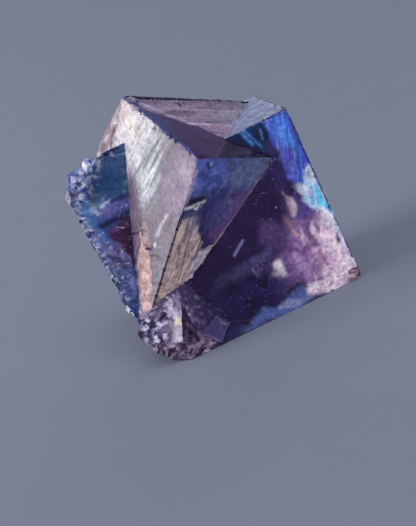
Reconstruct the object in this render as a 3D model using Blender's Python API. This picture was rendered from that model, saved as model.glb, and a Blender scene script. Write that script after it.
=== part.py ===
"""Fluorite crystal: two cubes that grew through each other, on one flat base.

Places are measured in millimetres from the left, front, bottom corner of the
host crystal: X to the right, Y away from the viewer, Z up. The last step turns
them to metres and stands the solid on the origin, under the middle of its box.
"""
import math
import random

import bmesh
import bpy
from mathutils import Matrix, Vector

NAME = "fluorite_crystal"
METRES = 0.001
SEED = 11

# Host crystal: a right block, and a left block that stands higher and further back
HOST_RIGHT = 17.2
HOST_DEPTH = 12.6
HOST_FRONT_HEIGHT = 13.7
HOST_TOP_SLOPE = math.radians(14)
LEDGE_FOOT = Vector((2.05, 0, 5.1))
LEDGE_NORMAL = Vector((-0.6, 0, 1))
UPPER_LEFT = 7.6
LEFT_FRONT = 1.7
LEFT_RIGHT = 9.4
LEFT_DEPTH = 10.9
LEFT_TOP = 16.9

# Twin crystal: half a turn about the host's body diagonal, then a little out of true
TWIN_CORNER = Vector((10.04, -4.66, 13.22))
TWIN_AXIS = Vector((1, 1, 1))
TWIN_ERROR = math.radians(2.8)
TWIN_ERROR_AXIS = Vector((0.63, -0.13, -0.77))
TWIN_A = 9.64
TWIN_B = 13.6
TWIN_C = 14.2
TWIN_RIGHT_LIMIT = HOST_RIGHT - 0.15
TWIN_LEFT_LIMIT = -0.3

# The twin's right face bulges as two flats: their rise per mm from its front and top edges
BULGE_HEIGHT = 1.2
BULGE_INSET = 0.03
FRONT_FLAT_RISE = 0.33
TOP_FLAT_RISE = 0.081
TOP_FLAT_SKEW = 0.01

# Slanting left end of the twin, past its long top edge
SHOULDER_REACH = 2.6
SHOULDER_SLANT = math.radians(29)
SHOULDER_TURN = math.radians(11)
SHOULDER_LEFT_LIMIT = TWIN_LEFT_LIMIT + 0.1

# Terraces at the back of the twin's upper face: where their line ends, tilt, lower edges
TERRACE_END = Vector((3.1, 0, 5.0))
TERRACE_TILT = math.radians(2.4)
TERRACE_EDGES = (0.0, 5.45, 6.9, 8.55)
TERRACE_RISE = 0.09

# Corners broken off along cleavage planes: a point of the cut, and the way it faces
BREAKS = {
    "left top strip": ((2.4, 1.7, 16.25), (-0.32, -0.72, 0.62)),
    "left top corner": ((0.45, 1.7, 16.3), (-0.8, -0.25, 0.55)),
    "left foot": ((0.0, 1.7, 2.6), (-0.9, -0.1, -0.42)),
    "left back top": ((0.0, 10.9, 14.9), (-1, 1, 1)),
    "left back foot": ((0.0, 10.9, 3.2), (-1, 1, -1)),
}
FRONT_FOOT_BREAK = ((1.5, 0.0, 1.25), (-1, -1, -1))
HOST_BREAKS = {
    "right back top": ((17.2, 12.6, 13.1), (1, 1, 1)),
    "right back foot": ((17.2, 12.6, 2.0), (1, 1, -1)),
}

# Small crystal in front of the host's lower left corner: its front edge, and its width
SPUR_TOP = Vector((4.3, 0.2, 4.8))
SPUR_FOOT = Vector((3.04, -1.3, 2.1))
SPUR_LENGTH = 3.4
SPUR_WIDTH = 2.6

# Small crystals low on the front: corner place, size, turn about Z in degrees
SATELLITES = (
    ((6.75, -0.42, 1.45), 1.7, 38),
    ((2.35, -0.38, 4.35), 1.0, -8),
    ((1.35, -0.2, 3.35), 0.9, 15),
    ((4.1, -0.5, 0.9), 0.9, 20),
)

# Thin plates on the faces: low corner, high corner, rise
FRONT_PLATES = (
    ((14.3, 2.2), (17.14, 13.55), 0.05),
    ((15.5, 4.4), (17.09, 13.2), 0.09),
    ((6.3, 0.0), (16.9, 1.55), 0.07),
)
LEFT_FRONT_PLATES = (
    ((0.05, 3.2), (2.9, 11.6), 0.06),
    ((0.09, 3.6), (2.1, 9.8), 0.11),
)
TWIN_FRONT_PLATES = (
    ((0.35, 7.6), (3.4, 12.4), 0.05),
    ((1.1, 0.4), (9.3, 3.4), 0.04),
)
PLATE_ROOT = 0.5

# Growth steps on the faces that the photo doesn't show, and their margins as shares of the face
STEPS_PER_FACE = 3
STEP_RISE = 0.09
STEP_MARGIN = (0.04, 0.32)

# Sugary rims: start, end, number of grains, scatter, least and greatest size
ROUGH_RIMS = (
    ((0.25, 2.2, 14.6), (2.7, 2.4, 16.8), 30, 0.35, (0.5, 1.0)),
    ((0.15, 2.1, 14.6), (0.1, 2.1, 4.4), 22, 0.12, (0.4, 0.8)),
    ((0.5, 0.7, 2.2), (3.7, 0.1, 0.35), 24, 0.3, (0.5, 1.0)),
    ((0.3, 1.5, 4.9), (1.8, 0.3, 3.0), 10, 0.2, (0.4, 0.7)),
)
GRAIN_TILT = 0.25
GRAIN_THINNEST = 0.6

# A chip's centre lies off its edge by this share of the chip's size
CHIP_OFFSET = 0.35

# Crack along the lower half of the twin's front edge, with beads on it
CRACK_START = 4.3
CRACK_END = 12.4
CRACK_WIDTH = 0.14
BEADS = (5.4, 6.6, 7.7, 8.9, 10.2, 11.3)
BEAD_RADIUS = 0.15

FLOOR_DEPTH = 3.0
TINY = 1e-6
MERGE = 1e-5

rng = random.Random(SEED)


def clear_scene():
    for obj in list(bpy.data.objects):
        bpy.data.objects.remove(obj, do_unlink=True)


def make_collection(name):
    made = bpy.data.collections.new(name)
    bpy.context.scene.collection.children.link(made)
    return made


def box(low, high):
    low = Vector(low)
    high = Vector(high)
    solid = bmesh.new()
    bmesh.ops.create_cube(solid, size=1, matrix=Matrix.LocRotScale((low + high) / 2, None, high - low))
    return solid


def ball(place, size):
    """A faceted ball of unequal widths, turned at random."""
    solid = bmesh.new()
    turn = Matrix.Rotation(rng.uniform(0, math.tau), 3, random_direction()).to_quaternion()
    widths = Vector((size, size * rng.uniform(0.6, 0.9), size * rng.uniform(0.5, 0.8)))
    shape = Matrix.LocRotScale(Vector(place), turn, widths)
    bmesh.ops.create_icosphere(solid, subdivisions=1, radius=1, matrix=shape)
    return solid


def random_direction():
    return Vector([rng.gauss(0, 1) for _ in range(3)]).normalized()


def moved(solid, matrix):
    bmesh.ops.transform(solid, matrix=matrix, verts=solid.verts)
    return solid


def cleave(solid, point, normal):
    """Takes off all that lies beyond a plane, and closes the cut."""
    parts = solid.verts[:] + solid.edges[:] + solid.faces[:]
    cut = bmesh.ops.bisect_plane(
        solid, geom=parts, dist=TINY, plane_co=Vector(point), plane_no=Vector(normal), clear_outer=True
    )
    rim = [item for item in cut["geom_cut"] if isinstance(item, bmesh.types.BMEdge)]
    if rim:
        bmesh.ops.holes_fill(solid, edges=rim)
    return solid


def face_frame(corner, along, out):
    """A frame on a face: X along it, Z out of it, Y the way that is left."""
    along = Vector(along).normalized()
    out = Vector(out).normalized()
    turn = Matrix((along, out.cross(along), out)).transposed().to_4x4()
    return Matrix.Translation(Vector(corner)) @ turn


def twin_frame():
    """The twin's own frame: its edges run along +X (A), +Z (B) and -Y (C)."""
    turn = Matrix.Rotation(math.pi, 4, TWIN_AXIS)
    error = Matrix.Rotation(TWIN_ERROR, 4, TWIN_ERROR_AXIS)
    return Matrix.Translation(TWIN_CORNER) @ error @ turn


TWIN = twin_frame()
EDGE_A = TWIN.to_3x3() @ Vector((1, 0, 0))
EDGE_B = TWIN.to_3x3() @ Vector((0, 0, 1))
EDGE_C = TWIN.to_3x3() @ Vector((0, -1, 0))

FRONT = face_frame((0, 0, 0), (1, 0, 0), (0, -1, 0))
LEFT_BLOCK_FRONT = face_frame((0, LEFT_FRONT, 0), (1, 0, 0), (0, -1, 0))
RIGHT_SIDE = face_frame((HOST_RIGHT, 0, 0), (0, 1, 0), (1, 0, 0))
BACK = face_frame((HOST_RIGHT, HOST_DEPTH, 0), (-1, 0, 0), (0, 1, 0))
LEFT_SIDE = face_frame((0, LEFT_DEPTH, 0), (0, -1, 0), (-1, 0, 0))
LEFT_BLOCK_TOP = face_frame((0, LEFT_FRONT, LEFT_TOP), (1, 0, 0), (0, 0, 1))
TWIN_FRONT = face_frame(TWIN_CORNER, EDGE_A, -EDGE_B)
TWIN_END = face_frame(TWIN_CORNER + EDGE_A * TWIN_A, EDGE_B, EDGE_A)
TWIN_BACK = face_frame(TWIN_CORNER + EDGE_B * TWIN_B, EDGE_C, EDGE_B)


def on_twin(a, b, c):
    """A point at distances along the twin's three front edges from its front corner."""
    return TWIN_CORNER + EDGE_A * a + EDGE_B * b + EDGE_C * c


TOP_RIGHT = Vector((HOST_RIGHT, 0, HOST_FRONT_HEIGHT))
FOOT_RIGHT = Vector((HOST_RIGHT, 0, 0))

# Stepped areas on hidden faces of the host and of the twin: face, low corner, high corner
HOST_GROWTH = (
    (RIGHT_SIDE, (0.3, 0.4), (10.5, 12.6)),
    (BACK, (0.3, 0.4), (9.0, 11.5)),
    (LEFT_SIDE, (2.5, 4.2), (8.6, 14.2)),
    (LEFT_BLOCK_TOP, (2.8, 0.7), (9.0, 6.6)),
)
TWIN_GROWTH = (
    (TWIN_END, (1.0, 1.5), (12.8, 8.0)),
    (TWIN_BACK, (4.8, 0.6), (12.5, 8.6)),
)

# Chipped edges: start, end, number of chips, least and greatest size
CHIPPED_EDGES = (
    (on_twin(9.3, 0, 0), on_twin(0.3, 0, 0), 15, (0.12, 0.3)),
    (on_twin(TWIN_A, 0.2, 0), on_twin(TWIN_A, 11, 0), 7, (0.12, 0.26)),
    (on_twin(0, 0.4, 0), on_twin(0, 6.2, 0), 3, (0.05, 0.09)),
    (on_twin(-0.2, 0.8, 3.5), on_twin(-0.2, 1.6, 3.3), 2, (0.22, 0.3)),
    (on_twin(2.2, 0, 8.5), on_twin(2.6, 0, 8.7), 2, (0.14, 0.2)),
    (TOP_RIGHT, TOP_RIGHT - Vector((2.2, 0, 0)), 4, (0.14, 0.28)),
    (TOP_RIGHT, FOOT_RIGHT, 12, (0.1, 0.26)),
    (FOOT_RIGHT, FOOT_RIGHT + Vector((-0.5, 0, 0.7)), 3, (0.3, 0.5)),
    ((8.0, 0, 0), (16.8, 0, 0), 5, (0.12, 0.24)),
    ((3.2, LEFT_FRONT, 16.5), (5.4, LEFT_FRONT, LEFT_TOP), 5, (0.14, 0.3)),
    ((0, LEFT_FRONT, 14), (0, LEFT_FRONT, 4), 8, (0.16, 0.34)),
    (FOOT_RIGHT + Vector((0, 1.5, 0)), FOOT_RIGHT + Vector((0, 11, 0)), 4, (0.15, 0.4)),
    (TOP_RIGHT + Vector((0, 1, 0.2)), TOP_RIGHT + Vector((0, 10, 2.1)), 5, (0.15, 0.4)),
)


def right_block():
    block = box((UPPER_LEFT, 0, -FLOOR_DEPTH), (HOST_RIGHT, HOST_DEPTH, HOST_FRONT_HEIGHT * 2))
    cleave(block, (0, 0, HOST_FRONT_HEIGHT), (0, -math.sin(HOST_TOP_SLOPE), math.cos(HOST_TOP_SLOPE)))
    for point, normal in HOST_BREAKS.values():
        cleave(block, point, normal)
    return block


def low_ledge():
    """The foot of the host's front, which runs on to the left under the twin."""
    block = box((0, 0, -FLOOR_DEPTH), (UPPER_LEFT + 1, LEFT_DEPTH - 0.4, HOST_FRONT_HEIGHT))
    cleave(block, LEDGE_FOOT, LEDGE_NORMAL)
    cleave(block, *BREAKS["left foot"])
    return cleave(block, *FRONT_FOOT_BREAK)


def left_block():
    block = box((0, LEFT_FRONT, -FLOOR_DEPTH), (LEFT_RIGHT, LEFT_DEPTH, LEFT_TOP))
    for point, normal in BREAKS.values():
        cleave(block, point, normal)
    return block


def within_host(solid):
    """Cuts a piece of the twin off just inside the host's right face and just past its left one."""
    cleave(solid, (TWIN_RIGHT_LIMIT, 0, 0), (1, 0, 0))
    return cleave(solid, (TWIN_LEFT_LIMIT, 0, 0), (-1, 0, 0))


def twin_block():
    return within_host(moved(box((0, -TWIN_C, 0), (TWIN_A, 0, TWIN_B)), TWIN))


def bulge():
    """The two flats of the twin's right face, which meet in a low ridge."""
    corner = Vector((BULGE_INSET, -BULGE_INSET, BULGE_INSET))
    far = Vector((TWIN_A, -TWIN_C, TWIN_B)) - corner
    block = box((-BULGE_HEIGHT, far.y, corner.z), (TWIN_A / 2, corner.y, far.z))
    cleave(block, corner, (-1, 0, -FRONT_FLAT_RISE))
    cleave(block, corner, (-1, TOP_FLAT_RISE, -TOP_FLAT_SKEW))
    return within_host(moved(block, TWIN))


def shoulder():
    top = TWIN_A + SHOULDER_REACH
    block = box((TWIN_A / 2, -TWIN_C * 0.8, BULGE_INSET), (top, -BULGE_INSET, TWIN_B * 0.7))
    corner = Vector((TWIN_A - BULGE_INSET, 0, BULGE_INSET))
    cleave(block, corner, (math.cos(SHOULDER_SLANT), math.sin(SHOULDER_SLANT), 0))
    cleave(block, corner, (math.sin(SHOULDER_TURN), 0, -math.cos(SHOULDER_TURN)))
    return cleave(moved(block, TWIN), (SHOULDER_LEFT_LIMIT, 0, 0), (-1, 0, 0))


def terrace(low_edge, rise, inset):
    """One slab of the tilted stack that starts at the line from the top corner to the host."""
    corner = Vector((TWIN_A, 0, 0))
    line = (TERRACE_END - corner).normalized()
    beyond = line.cross(Vector((0, 1, 0)))
    beyond *= math.copysign(1, beyond.x)
    up = Vector((0, math.cos(TERRACE_TILT), 0)) - beyond * math.sin(TERRACE_TILT)
    slab = box((low_edge, -0.6, inset), (TWIN_A - inset, 2, TWIN_B - inset))
    cleave(slab, corner + up * rise, up)
    cleave(slab, corner, -beyond)
    moved(slab, TWIN)
    return cleave(slab, (TWIN_RIGHT_LIMIT - inset, 0, 0), (1, 0, 0))


def terraces():
    found = []
    for step, low_edge in enumerate(TERRACE_EDGES):
        found.append(terrace(low_edge, TERRACE_RISE * step, 0.03 * (step + 1)))
    return found


def plate(frame, low, high, rise):
    slab = box((low[0], low[1], -PLATE_ROOT), (high[0], high[1], rise))
    return moved(slab, frame)


def plates(frame, rows):
    return [plate(frame, low, high, rise) for low, high, rise in rows]


def growth_steps(frame, low, high):
    """Stacked plates of unequal size, as on a cube face that grew layer by layer."""
    found = []
    width = high[0] - low[0]
    height = high[1] - low[1]
    for step in range(STEPS_PER_FACE):
        margins = [rng.uniform(*STEP_MARGIN) for _ in range(4)]
        foot = (low[0] + width * margins[0], low[1] + height * margins[1])
        top = (high[0] - width * margins[2], high[1] - height * margins[3])
        found.append(plate(frame, foot, top, STEP_RISE * (step + 1)))
    return found


def hidden_growth():
    found = []
    for area in HOST_GROWTH:
        found += growth_steps(*area)
    for area in TWIN_GROWTH:
        found += [within_host(step) for step in growth_steps(*area)]
    return found


def spur():
    """A small crystal with its edge to the front: a bright left face and a dark right one."""
    rise = (SPUR_TOP - SPUR_FOOT).normalized()
    inward = Vector((0, 1, 0))
    inward = (inward - rise * inward.dot(rise)).normalized()
    turn = Matrix((rise.cross(inward), inward, rise)).transposed().to_4x4()
    frame = Matrix.Translation(SPUR_TOP) @ turn @ Matrix.Rotation(math.radians(45), 4, "Z")
    return moved(box((0, 0, -SPUR_LENGTH), (SPUR_WIDTH, SPUR_WIDTH, 0.3)), frame)


def satellite(place, size, turn):
    """A small cube in the twin's setting, corner outward."""
    frame = Matrix.Translation(Vector(place)) @ Matrix.Rotation(math.radians(turn), 4, "Z")
    frame = frame @ TWIN.to_3x3().to_4x4()
    return moved(box((0, -size, 0), (size, 0, size)), frame)


def grains(start, end, count, scatter, sizes):
    """Sugary grains along a line: small cubes, some set as the host and some as the twin."""
    found = []
    start = Vector(start)
    end = Vector(end)
    for index in range(count):
        place = start.lerp(end, (index + rng.random()) / count)
        place += Vector([rng.uniform(-scatter, scatter) for _ in range(3)])
        half = rng.uniform(*sizes) / 2
        turn = Matrix.Rotation(rng.gauss(0, GRAIN_TILT), 4, random_direction())
        if rng.random() < 0.5:
            turn = turn @ TWIN.to_3x3().to_4x4()
        cube = box((-half, -half * rng.uniform(GRAIN_THINNEST, 1), -half), (half, half, half))
        found.append(moved(cube, Matrix.Translation(place) @ turn))
    return found


def rough_rims():
    found = []
    for rim in ROUGH_RIMS:
        found += grains(*rim)
    return found


def chips(start, end, count, sizes):
    """Faceted hollows where small flakes have left an edge."""
    found = []
    start = Vector(start)
    end = Vector(end)
    for index in range(count):
        place = start.lerp(end, (index + rng.random()) / count)
        size = rng.uniform(*sizes)
        place += random_direction() * size * CHIP_OFFSET
        found.append(ball(place, size))
    return found


def all_chips():
    found = []
    for edge in CHIPPED_EDGES:
        found += chips(*edge)
    return found


def crack():
    """A narrow groove on the twin's front edge, and the beads that open it."""
    half = CRACK_WIDTH / 2
    groove = box((-half, -CRACK_END, -half), (half, -CRACK_START, half))
    found = [moved(groove, TWIN)]
    for distance in BEADS:
        found.append(ball(on_twin(0.03, 0.03, distance), BEAD_RADIUS * rng.uniform(0.8, 1.2)))
    return found


def floor_cut():
    return box((-20, -20, -20), (40, 40, 0))


def hide_guide(obj):
    obj.hide_render = True
    obj.display_type = "WIRE"


def add_object(solid, name, group):
    mesh = bpy.data.meshes.new(name)
    bmesh.ops.recalc_face_normals(solid, faces=solid.faces)
    solid.to_mesh(mesh)
    solid.free()
    obj = bpy.data.objects.new(name, mesh)
    group.objects.link(obj)
    return obj


def add_guides(solids, name, group):
    for index, solid in enumerate(solids):
        hide_guide(add_object(solid, f"{name}_{index:03d}", group))


def add_boolean(obj, operation, group):
    modifier = obj.modifiers.new(operation.title(), "BOOLEAN")
    modifier.operation = operation
    modifier.operand_type = "COLLECTION"
    modifier.collection = group
    modifier.solver = "EXACT"


def fluorite():
    """Clear deep violet, glassy on its cube faces."""
    material = bpy.data.materials.new("fluorite")
    material.use_nodes = True
    shader = material.node_tree.nodes["Principled BSDF"]
    shader.inputs["Base Color"].default_value = (0.16, 0.09, 0.33, 1)
    shader.inputs["Roughness"].default_value = 0.12
    shader.inputs["Metallic"].default_value = 0.0
    shader.inputs["IOR"].default_value = 1.434
    shader.inputs["Transmission Weight"].default_value = 0.6
    return material


def finished_mesh(obj):
    """The joined and cut shape as one mesh, in metres, standing on the origin."""
    bpy.context.view_layer.update()
    evaluated = obj.evaluated_get(bpy.context.evaluated_depsgraph_get())
    mesh = bpy.data.meshes.new_from_object(evaluated)
    solid = bmesh.new()
    solid.from_mesh(mesh)
    bmesh.ops.remove_doubles(solid, verts=solid.verts, dist=MERGE)
    bmesh.ops.triangulate(solid, faces=solid.faces)
    for axis in range(2):
        values = [vert.co[axis] for vert in solid.verts]
        middle = (min(values) + max(values)) / 2
        for vert in solid.verts:
            vert.co[axis] -= middle
    bmesh.ops.scale(solid, vec=Vector((METRES, METRES, METRES)), verts=solid.verts)
    solid.to_mesh(mesh)
    solid.free()
    return mesh


def grown_solids():
    """All that is joined to the right block."""
    found = [low_ledge(), left_block(), twin_block(), bulge(), shoulder(), spur()]
    found += terraces()
    found += plates(FRONT, FRONT_PLATES)
    found += plates(LEFT_BLOCK_FRONT, LEFT_FRONT_PLATES)
    found += plates(TWIN_FRONT, TWIN_FRONT_PLATES)
    found += hidden_growth()
    found += [satellite(*row) for row in SATELLITES]
    found += rough_rims()
    return found


def build():
    clear_scene()
    crystal = make_collection(NAME)
    growths = make_collection("growths")
    cutters = make_collection("cutters")
    core = add_object(right_block(), NAME, crystal)
    add_guides(grown_solids(), "growth", growths)
    add_guides(all_chips() + crack() + [floor_cut()], "cutter", cutters)
    add_boolean(core, "UNION", growths)
    add_boolean(core, "DIFFERENCE", cutters)
    mesh = finished_mesh(core)
    core.modifiers.clear()
    core.data = mesh
    core.data.materials.append(fluorite())


build()
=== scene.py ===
"""The looks of the fluorite twin: the relief, colour zones and frosting of its faces, with painted glare,
reflections, glints and shade among their colours.

Places on the crystal are in millimetres from the host crystal's left, front, bottom corner,
as in the model's source. Each main face has its own coordinates, u and v, in millimetres.
"""
import math

import bmesh
import bpy
import numpy as np
from mathutils import Matrix, Vector


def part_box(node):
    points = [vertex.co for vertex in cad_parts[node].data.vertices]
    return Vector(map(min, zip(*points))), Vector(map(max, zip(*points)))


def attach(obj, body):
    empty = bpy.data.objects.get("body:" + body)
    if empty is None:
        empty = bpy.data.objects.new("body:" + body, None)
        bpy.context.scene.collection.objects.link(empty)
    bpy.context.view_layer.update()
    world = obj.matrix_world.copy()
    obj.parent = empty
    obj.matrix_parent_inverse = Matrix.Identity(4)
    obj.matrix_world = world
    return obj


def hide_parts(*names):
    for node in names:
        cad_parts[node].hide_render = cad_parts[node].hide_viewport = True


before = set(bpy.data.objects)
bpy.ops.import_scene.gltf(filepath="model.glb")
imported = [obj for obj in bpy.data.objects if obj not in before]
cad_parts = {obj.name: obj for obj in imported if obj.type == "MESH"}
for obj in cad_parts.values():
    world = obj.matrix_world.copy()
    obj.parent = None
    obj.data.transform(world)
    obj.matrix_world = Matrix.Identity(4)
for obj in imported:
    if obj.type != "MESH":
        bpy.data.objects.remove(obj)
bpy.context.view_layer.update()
SCENE = bpy.context.scene

NODE = "fluorite_crystal"
METRES = 0.001

# Where the host's corner and the twin's front corner are, and how the twin is turned
HOST_RIGHT_END = 17.47
TWIN_CORNER = Vector((10.04, -4.66, 13.22))
LOW_CORNER, HIGH_CORNER = (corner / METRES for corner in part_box(NODE))
HOST_CORNER = Vector((HIGH_CORNER.x - HOST_RIGHT_END, LOW_CORNER.y - TWIN_CORNER.y, 0.0))
TWIN_ERROR = math.radians(2.8)
TWIN_ERROR_AXIS = Vector((0.63, -0.13, -0.77))
LEFT_FRONT = 1.7
HOST_TOP = 13.7
HOST_TOP_SLOPE = math.radians(14)
# The least cosine between a triangle's direction and that of the face it counts with
FLAT = 0.97

# Camera: place and the directions of its picture, in the host's frame
CAMERA_PLACE = Vector((9.56, -36.58, 12.64))
CAMERA_UP = Vector((0.4454, 0.1818, 0.8767))
CAMERA_BACK = Vector((0.0615, -0.9831, 0.1726))
CAMERA_LENS = 34.22


def twin_edges():
    """The three directions that the twin's edges run in from its front corner."""
    turn = Matrix.Rotation(math.pi, 3, Vector((1, 1, 1)))
    turn = Matrix.Rotation(TWIN_ERROR, 3, TWIN_ERROR_AXIS) @ turn
    return turn @ Vector((1, 0, 0)), turn @ Vector((0, 0, 1)), turn @ Vector((0, -1, 0))


EDGE_A, EDGE_B, EDGE_C = twin_edges()


def on_twin(a, b, c):
    """A point at distances along the twin's three front edges from its front corner."""
    return TWIN_CORNER + EDGE_A * a + EDGE_B * b + EDGE_C * c


class Face:
    """A main face of the crystal: its plane, its u and v, and the longest edge of its mesh."""

    def __init__(self, corner, along, across, out, reach, mesh_size, flat=FLAT, slant=(0, 0)):
        self.corner = Vector(corner)
        self.along = Vector(along).normalized()
        self.across = Vector(across).normalized()
        self.out = Vector(out).normalized()
        self.reach = reach
        self.mesh_size = mesh_size
        self.flat = flat
        self.slant = slant

    def holds(self, place, normal):
        """True for a triangle that lies on this face or on a thin step of it."""
        if normal.dot(self.out) < self.flat:
            return False
        return abs((place - self.corner).dot(self.out)) < self.reach

    def height_of(self, vert):
        """How far a vertex of the solid lies out of the face."""
        return (vert.co - HOST_CORNER - self.corner).dot(self.out)

    def step_height(self, places):
        return np.clip((places - np.array(self.corner)) @ np.array(self.out), 0, None)

    def local(self, places):
        """The u and v of places. Those of a raised place are read along the face's slant."""
        offsets = places - np.array(self.corner)
        height = self.step_height(places)
        u = offsets @ np.array(self.along) + self.slant[0] * height
        return u, offsets @ np.array(self.across) + self.slant[1] * height


def placed(name, data):
    """A new object with that data, in the scene."""
    obj = bpy.data.objects.new(name, data)
    SCENE.collection.objects.link(obj)
    return obj


# The main faces
SHOULDER_PLACE = on_twin(9.61, 0.03, 0)
SHOULDER_TURN = math.radians(11)
SHOULDER_OUT = EDGE_A * math.sin(SHOULDER_TURN) - EDGE_B * math.cos(SHOULDER_TURN)
BEVEL_PLACE = Vector((2.4, 1.7, 16.25))
BEVEL_OUT = Vector((-0.32, -0.72, 0.62)).normalized()
SPUR_TOP = Vector((4.3, 0.2, 4.8))
SPUR_FOOT = Vector((3.04, -1.3, 2.1))
SPUR_RISE = (SPUR_TOP - SPUR_FOOT).normalized()
SPUR_BACK = (Vector((0, 1, 0)) - SPUR_RISE * SPUR_RISE.y).normalized()
SPUR_SIDE = SPUR_BACK.cross(SPUR_RISE)
SPUR_LEFT_OUT = (-SPUR_BACK - SPUR_SIDE).normalized()
SPUR_RIGHT_OUT = (SPUR_SIDE - SPUR_BACK).normalized()
TOP_OUT = (0, -math.sin(HOST_TOP_SLOPE), math.cos(HOST_TOP_SLOPE))
TOP_BACK = (0, math.cos(HOST_TOP_SLOPE), math.sin(HOST_TOP_SLOPE))
FACES = {
    "shoulder": Face(SHOULDER_PLACE, EDGE_A, EDGE_C, SHOULDER_OUT, 0.05, 0.2, 0.995),
    "twin front": Face(TWIN_CORNER, EDGE_A, EDGE_C, -EDGE_B, 0.3, 0.18),
    "twin top": Face(TWIN_CORNER, EDGE_A, EDGE_B, -EDGE_C, 0.8, 0.2),
    "twin right": Face(TWIN_CORNER, EDGE_B, EDGE_C, -EDGE_A, 1.2, 0.18, 0.93, (1.04, 0.73)),
    "host front": Face((0, 0, 0), (1, 0, 0), (0, 0, 1), (0, -1, 0), 0.3, 0.19),
    "left front": Face((0, LEFT_FRONT, 0), (1, 0, 0), (0, 0, 1), (0, -1, 0), 0.4, 0.21),
    "host top": Face((0, 0, HOST_TOP), (1, 0, 0), TOP_BACK, TOP_OUT, 0.3, 0.5),
    "bevel": Face(BEVEL_PLACE, BEVEL_OUT.cross((0, 1, 0)), BEVEL_OUT.cross((1, 0, 0)), BEVEL_OUT, 0.1, 0.2),
    "spur left": Face(SPUR_TOP, SPUR_RISE, SPUR_LEFT_OUT.cross(SPUR_RISE), SPUR_LEFT_OUT, 0.1, 0.18),
    "spur right": Face(SPUR_TOP, SPUR_RISE, SPUR_RIGHT_OUT.cross(SPUR_RISE), SPUR_RIGHT_OUT, 0.1, 0.18),
}
FACE_NAMES = list(FACES)
OTHER = len(FACE_NAMES)
OTHER_MESH_SIZE = 0.6


def smooth(value, low, high):
    share = np.clip((value - low) / (high - low), 0, 1)
    return share * share * (3 - 2 * share)


def waves(x, y, scale, seed):
    """Smooth random height, mostly between -1 and 1, with hills about that many mm wide."""
    draw = np.random.default_rng(seed)
    total = np.zeros_like(x)
    for _ in range(6):
        angle = draw.uniform(0, math.tau)
        stretch = draw.uniform(1.5, 3.6) / scale
        start = draw.uniform(0, math.tau)
        along = x * math.cos(angle) + y * math.sin(angle)
        across = y * math.cos(angle) - x * math.sin(angle)
        total += np.sin(along * stretch + start + 1.2 * np.sin(across * stretch * 0.8 + start))
    return total / 2.6


def solid_waves(places, scale, seed):
    x, y, z = places.T
    return (waves(x, y + 0.7 * z, scale, seed) + waves(y - 0.6 * x, z, scale, seed + 1)) / 1.5


def spot(u, v, x, y, wide, high, turn=0, edge=0.5):
    """Share of a soft oval around x, y: 1 inside, 0 outside. Wide and high are its half sizes.

    The edge is the soft part of its radius.
    """
    cos, sin = math.cos(math.radians(turn)), math.sin(math.radians(turn))
    along = (u - x) * cos + (v - y) * sin
    across = (v - y) * cos - (u - x) * sin
    distance = np.hypot(along / wide, across / high)
    return 1 - smooth(distance, 1 - edge, 1 + edge * 0.4)


def line(u, v, start, end, width):
    """Share of a thin straight mark between two points, that fades at its ends."""
    run = np.array(end, float) - np.array(start, float)
    length = np.hypot(*run)
    run /= length
    along = (u - start[0]) * run[0] + (v - start[1]) * run[1]
    across = (v - start[1]) * run[0] - (u - start[0]) * run[1]
    ends = smooth(along, -width, width) * (1 - smooth(along, length - width, length + width))
    return ends * np.exp(-((across / width) ** 2))


# Relief: depth below the flat face, in mm


def ridges(across, spacing, wobble):
    """Rounded parallel ridges, from 0 to 1, at that spacing in mm."""
    return 0.5 + 0.5 * np.sin(math.tau * across / spacing + wobble)


def twin_front_stripes(u, v):
    return u - 0.4 * v + 0.012 * v * v


def twin_front_relief(u, v):
    lines = ridges(twin_front_stripes(u, v), 0.5, 1.8 * waves(u, v, 1.8, 3))
    lined = spot(u, v, 5.0, 2.8, 3.4, 3.2, 20, 0.6)
    depth = 0.045 * lines * lined
    depth += 0.018 * (1 + waves(u, v, 0.7, 4))
    scaly = smooth(u, 7.6, 9.0) + spot(u, v, 1.9, 10.6, 1.7, 2.6, 0, 0.3)
    depth += 0.05 * np.clip(scaly, 0, 1) * (1 + waves(u, v, 0.45, 5))
    depth += 0.1 * line(u, v, (1.8, 8.4), (2.9, 8.7), 0.12)
    depth += 0.06 * line(u, v, (1.2, 4.8), (1.4, 6.4), 0.1)
    return depth


def twin_top_relief(u, v):
    sliver = convex(u, v, SLIVER, 0.1)
    depth = 0.012 * (1 + waves(u, v, 1.0, 8))
    for place in (5.45, 8.5):
        depth += 0.05 * np.exp(-(((u - place + 0.02 * (v - 4) ** 2) / 0.09) ** 2))
    lines = ridges(u, 0.5, 1.2 * waves(u, v * 0.25, 2.0, 9))
    return (depth + 0.014 * lines) * (1 - sliver)


def twin_right_relief(u, v):
    lined = spot(u, v, 1.7, 9.0, 1.9, 4.4, 0, 0.4)
    lines = ridges(u + 0.05 * v, 0.34, 2.2 * waves(u, v * 0.3, 1.4, 12))
    depth = 0.05 * lined * lines + 0.014 * (1 + waves(u, v, 0.9, 13))
    depth += 0.1 * convex(u, v, CHEVRON, 0.06) + 0.06 * convex(u, v, LOW_BEVEL, 0.1)
    return depth + 0.1 * line(u, v, (0.0, 3.6), (1.3, 3.3), 0.14)


def shoulder_relief(u, v):
    lines = ridges(u - 0.3 * v, 0.5, 1.8 * waves(u, v * 0.5, 1.2, 31))
    return 0.06 * lines + 0.03 * (1 + waves(u, v, 0.4, 32))


def host_front_relief(u, v):
    lined = spot(u, v, 15.6, 10.4, 1.9, 3.6, 8, 0.5)
    lines = ridges(u - 0.1 * v, 0.36, 1.6 * waves(u, v * 0.3, 1.6, 17))
    depth = 0.03 * lined * lines + 0.012 * (1 + waves(u, v, 1.2, 18))
    rough = spot(u, v, 15.6, 2.6, 2.2, 3.4, 20, 0.6)
    return depth + 0.03 * rough * (1 + waves(u, v, 0.5, 19))


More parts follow.
